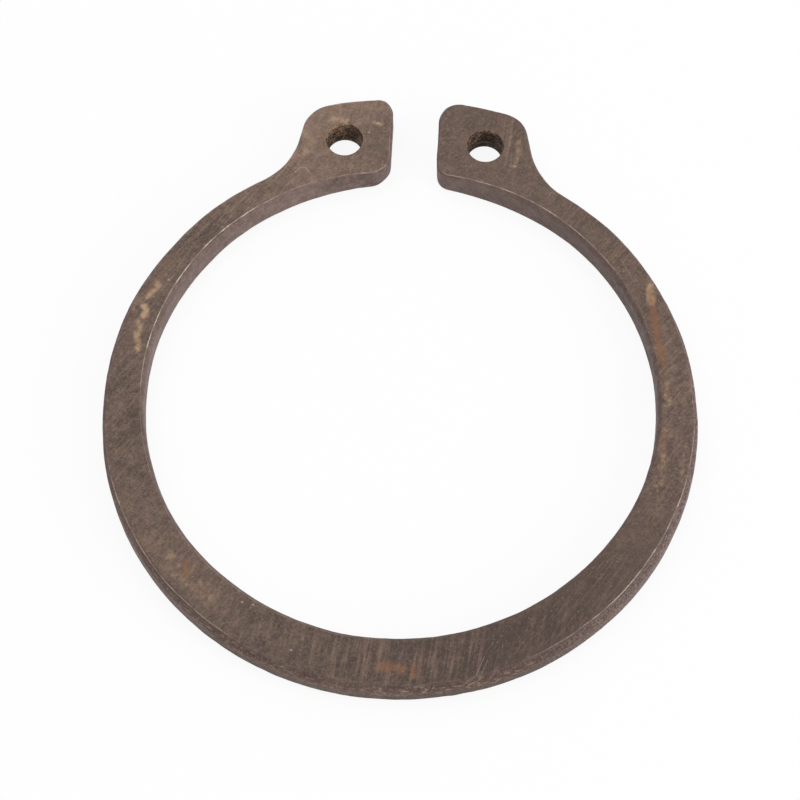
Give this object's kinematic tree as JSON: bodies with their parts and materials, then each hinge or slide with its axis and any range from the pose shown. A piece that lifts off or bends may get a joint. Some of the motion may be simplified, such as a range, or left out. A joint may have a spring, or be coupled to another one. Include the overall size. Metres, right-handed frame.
{
  "type": "external retaining ring",
  "caption": "Open flat spring steel ring with a tapering beam and two drilled lugs, snapped into a shaft groove to hold parts in place.",
  "frame": {"origin": "centre of the inner circle, halfway through the thickness", "axes": "+Z along the shaft's axis, out of the face that the picture shows; +Y through the middle of the gap between the lugs"},
  "size_m": [0.0552, 0.061, 0.003],
  "materials": {
    "spring_steel": "phosphated and oiled spring steel, worn and lightly rusted"
  },
  "bodies": {
    "root": {"retaining_ring": "spring_steel"}
  },
  "joints": []
}
